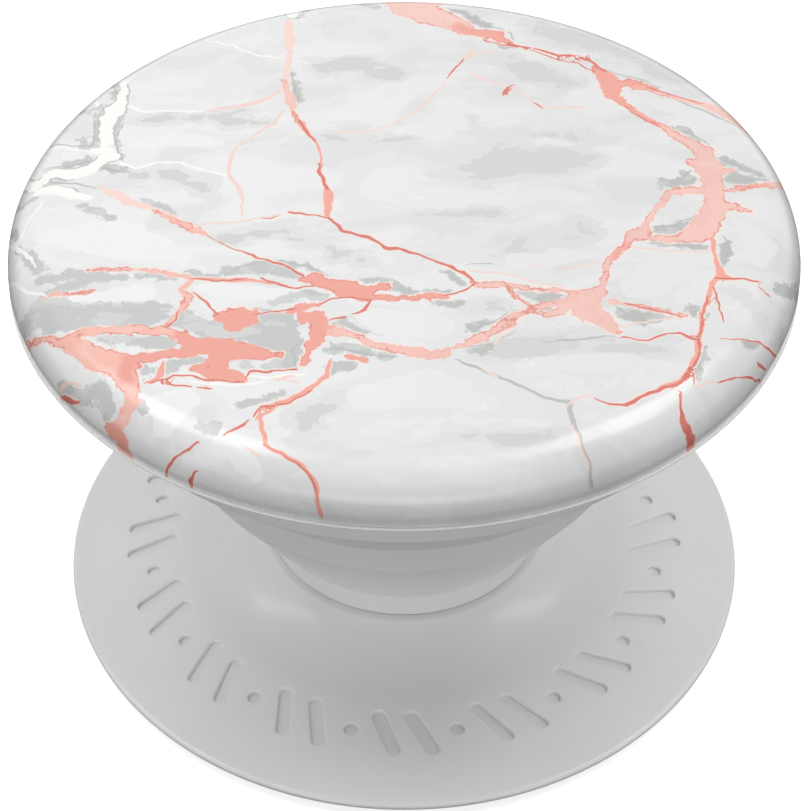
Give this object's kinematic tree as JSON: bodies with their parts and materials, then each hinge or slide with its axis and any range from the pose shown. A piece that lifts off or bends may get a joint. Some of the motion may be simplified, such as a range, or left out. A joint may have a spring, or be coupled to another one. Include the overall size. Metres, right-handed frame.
{
  "type": "collapsible phone grip",
  "caption": "Round stick-on phone grip: swivelling base, three-tier folding accordion that closes flat in two stages, and a printed cap held by a quarter-turn bayonet",
  "frame": {"origin": "centre of the adhesive face, which rests on the surface that the grip is stuck to", "axes": "+Z is the accordion's axis, out of the surface towards the cap; the cap's two locking tabs lie along X when it is locked; drawn fully extended"},
  "size_m": [0.0398, 0.0398, 0.0252],
  "materials": {
    "gel": "satin pale grey reusable gel adhesive",
    "clear_film": "thin clear bonding film",
    "base_plastic": "satin white moulded polycarbonate",
    "hub_plastic": "matte pale grey moulded plastic",
    "soft_tpu": "satin light grey thermoplastic polyurethane",
    "cap_plastic": "glossy white moulded polycarbonate",
    "printed_film": "glossy print of white marble with rose metallic veins"
  },
  "bodies": {
    "base": {"gel_pad": "gel", "adhesive_film": "clear_film", "base_platform": "base_plastic", "backing_disc": "hub_plastic"},
    "collar": {"swivel_ring": "hub_plastic", "collar_tier": "soft_tpu", "lower_web": "soft_tpu"},
    "middle": {"middle_tier": "soft_tpu", "upper_web": "soft_tpu"},
    "upper": {"upper_tier": "soft_tpu", "hub_ring": "hub_plastic"},
    "cap": {"twist_plug": "cap_plastic", "plug_bond_disc": "clear_film", "cap_shell": "cap_plastic", "print_film": "printed_film"}
  },
  "joints": [
    {"name": "swivel", "type": "hinge", "parent": "base", "child": "collar", "pos_m": [0, 0, 0.0013], "axis": [0, 0, 1], "continuous": true},
    {"name": "lower_stage", "type": "slide", "parent": "collar", "child": "middle", "axis": [0, 0, 1], "range_m": [-0.0087, 0], "deforming": ["lower_web"]},
    {"name": "upper_stage", "type": "slide", "parent": "middle", "child": "upper", "axis": [0, 0, 1], "range_m": [-0.0087, 0], "deforming": ["upper_web"]},
    {"name": "cap_twist", "type": "hinge", "parent": "upper", "child": "cap", "pos_m": [0, 0, 0.0234], "axis": [0, 0, 1], "range_deg": [0, 90]}
  ]
}
